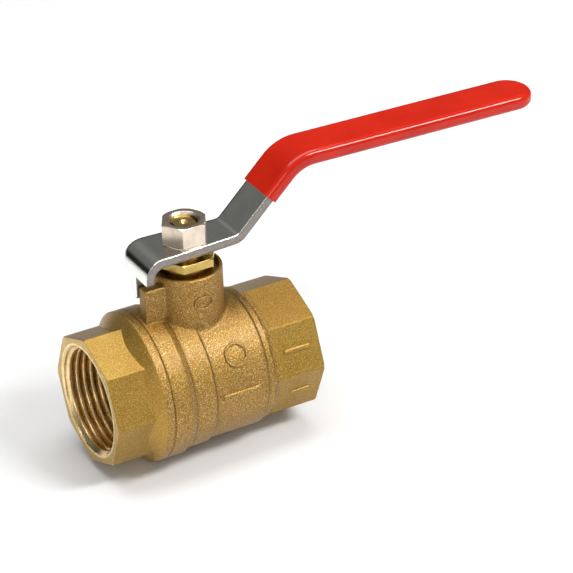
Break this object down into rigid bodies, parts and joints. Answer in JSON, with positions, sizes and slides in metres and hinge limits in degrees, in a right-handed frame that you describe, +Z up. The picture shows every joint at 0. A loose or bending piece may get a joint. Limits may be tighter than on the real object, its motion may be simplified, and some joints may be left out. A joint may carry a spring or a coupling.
{
  "type": "ball valve",
  "caption": "Brass quarter-turn ball valve with female pipe threads, octagonal ends and a cranked lever with a red dipped grip.",
  "frame": {"origin": "on the flow axis where the inlet's full thread starts, 1.4 mm inside the inlet face", "axes": "+X along the flow from inlet to outlet and along the open lever, +Z up the stem, +Y to the side the tail swings to when the valve is shut"},
  "size_m": [0.1481, 0.0444, 0.0845],
  "materials": {
    "forged_brass_body": "sand-blasted forging, machined octagon flats and face",
    "forged_brass_cap": "sand-blasted forging, machined octagon flats and face",
    "seal_ptfe": "natural PTFE",
    "ball_chrome": "polished hard chrome on brass",
    "seat_ptfe": "natural PTFE",
    "stem_brass": "turned brass",
    "oring_rubber": "black nitrile",
    "washer_ptfe": "natural PTFE",
    "packing_ptfe": "natural PTFE",
    "gland_brass": "turned brass, bright",
    "lever_chrome": "bright chrome plate on pressed steel",
    "grip_vinyl": "glossy red dipped vinyl",
    "nut_nickel": "nickel plated steel"
  },
  "bodies": {
    "valve_body": {"body": "forged_brass_body", "end_cap": "forged_brass_cap", "end_cap_seal": "seal_ptfe", "seat_ring_inlet": "seat_ptfe", "seat_ring_outlet": "seat_ptfe", "stem_thrust_washer": "washer_ptfe", "packing_ring_lower": "packing_ptfe", "packing_ring_upper": "packing_ptfe", "gland_nut": "gland_brass"},
    "ball": {"ball": "ball_chrome"},
    "handle": {"stem": "stem_brass", "stem_oring": "oring_rubber", "lever": "lever_chrome", "grip": "grip_vinyl", "lever_nut": "nut_nickel"}
  },
  "joints": [
    {"name": "lever_turn", "type": "hinge", "parent": "valve_body", "child": "handle", "pos_m": [0.0316, 0, 0.041], "axis": [0, 0, 1], "range_deg": [-90, 0]},
    {"name": "ball_turn", "type": "hinge", "parent": "valve_body", "child": "ball", "pos_m": [0.0316, 0, 0], "axis": [0, 0, 1], "range_deg": [-90, 0]}
  ],
  "couplings": [
    {"joint": "ball_turn", "follows": "lever_turn", "ratio": 1}
  ]
}
